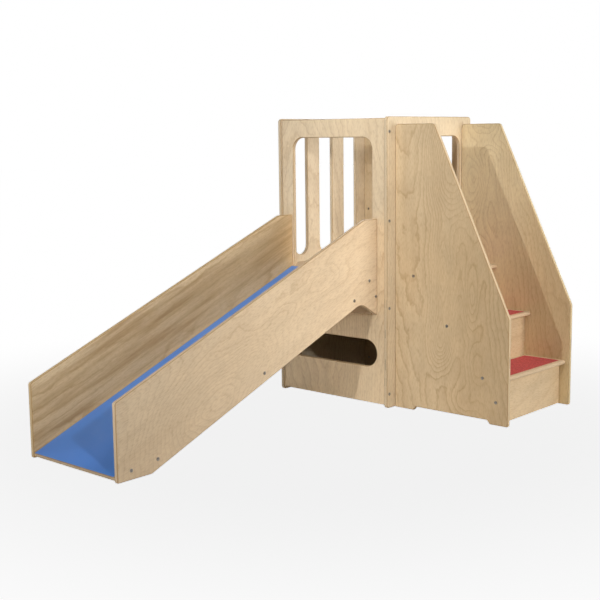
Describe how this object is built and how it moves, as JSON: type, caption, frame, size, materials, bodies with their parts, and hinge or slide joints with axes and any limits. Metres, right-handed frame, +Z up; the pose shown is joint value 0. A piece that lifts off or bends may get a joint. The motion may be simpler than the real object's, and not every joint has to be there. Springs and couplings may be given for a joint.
{
  "type": "toddler slide",
  "caption": "Plywood play tower with a deck, a straight slide with high side walls and a blue bed, and a stepped stair with red mats, leaving two adjoining sides.",
  "frame": {"origin": "on the floor, under the middle of the whole unit's bounding box", "axes": "+Z up; the slide runs down towards -Y; the stair leaves the tower towards +X"},
  "size_m": [1.1664, 2.007, 1.22],
  "materials": {
    "birch_plywood": "clear satin lacquer over birch plywood",
    "birch_tread": "clear satin lacquer, rounded nose",
    "birch_batten": "sanded, bare",
    "blue_laminate": "satin",
    "red_mat": "fine matt grain",
    "zinc_steel": "bright zinc plate"
  },
  "bodies": {
    "root": {"tower_left_panel": "birch_plywood", "tower_right_panel": "birch_plywood", "tower_front_panel": "birch_plywood", "tower_back_panel": "birch_plywood", "deck": "birch_plywood", "deck_cleat_left": "birch_batten", "deck_cleat_right": "birch_batten", "tower_bolts": "zinc_steel", "tower_barrel_nuts": "zinc_steel", "cleat_screws": "zinc_steel", "slide_left_wall": "birch_plywood", "slide_right_wall": "birch_plywood", "slide_bed": "birch_plywood", "slide_skin": "blue_laminate", "slide_end_board": "birch_plywood", "stretcher_upper": "birch_plywood", "stretcher_middle": "birch_plywood", "stretcher_lower": "birch_plywood", "slide_bolts": "zinc_steel", "slide_barrel_nuts": "zinc_steel", "slide_mount_bolts": "zinc_steel", "slide_mount_nuts": "zinc_steel", "stair_front_side": "birch_plywood", "stair_back_side": "birch_plywood", "tread_lower": "birch_tread", "tread_middle": "birch_tread", "tread_upper": "birch_tread", "riser_lower": "birch_plywood", "riser_middle": "birch_plywood", "riser_upper": "birch_plywood", "tread_mat_lower": "red_mat", "tread_mat_middle": "red_mat", "tread_mat_upper": "red_mat", "stair_bolts": "zinc_steel", "stair_barrel_nuts": "zinc_steel", "riser_screws": "zinc_steel", "stair_mount_bolts": "zinc_steel", "stair_mount_inserts": "zinc_steel"}
  },
  "joints": []
}
